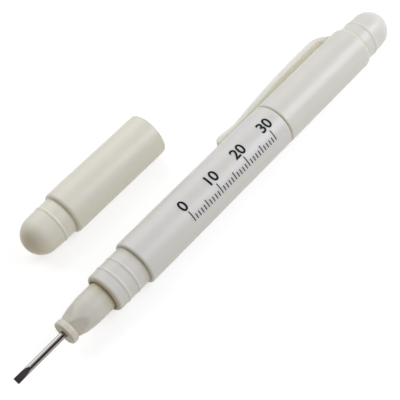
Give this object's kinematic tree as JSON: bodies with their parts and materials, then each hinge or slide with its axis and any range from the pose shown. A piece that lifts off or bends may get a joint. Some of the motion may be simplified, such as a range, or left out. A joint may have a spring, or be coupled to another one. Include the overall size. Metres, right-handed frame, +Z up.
{
  "type": "double-ended pocket screwdriver",
  "caption": "Pen-shaped pocket screwdriver with a blade at each end, pull-off caps with domed stubs, a moulded pocket clip, and the front cap lying beside it.",
  "frame": {"origin": "on the table, below the middle of the box around the tool and its loose cap", "axes": "+X along the tool towards its clip end, +Y across to the clip and the loose cap, +Z up from the table"},
  "size_m": [0.1342, 0.0378, 0.012],
  "materials": {
    "barrel_plastic": "satin moulded, off-white",
    "fitting_plastic": "satin moulded, off-white",
    "cap_plastic": "satin moulded, ivory",
    "blade_steel": "polished rod, ground tip"
  },
  "bodies": {
    "rear_cap": {"rear_cap_sleeve": "cap_plastic", "rear_cap_plug": "cap_plastic"},
    "screwdriver": {"barrel": "barrel_plastic", "front_neck": "fitting_plastic", "rear_neck": "fitting_plastic", "front_nose": "fitting_plastic", "rear_nose": "fitting_plastic", "flat_blade": "blade_steel", "cross_blade": "blade_steel"},
    "clip": {"pocket_clip": "cap_plastic"},
    "front_cap": {"front_cap_sleeve": "cap_plastic", "front_cap_plug": "cap_plastic"}
  },
  "joints": [
    {"name": "screwdriver_pull", "type": "slide", "parent": "rear_cap", "child": "screwdriver", "axis": [-1, 0, 0], "range_m": [0, 0.0667]},
    {"name": "clip_flex", "type": "hinge", "parent": "rear_cap", "child": "clip", "pos_m": [0.0483, -0.00425, 0.006], "axis": [0, 0, -1], "range_deg": [0, 4], "stiffness_Nm_per_rad": 1},
    {"name": "front_cap_shift", "type": "slide", "parent": "rear_cap", "child": "front_cap", "axis": [-0.9681, -0.2507, 0], "range_m": [0, 0.1033]}
  ]
}
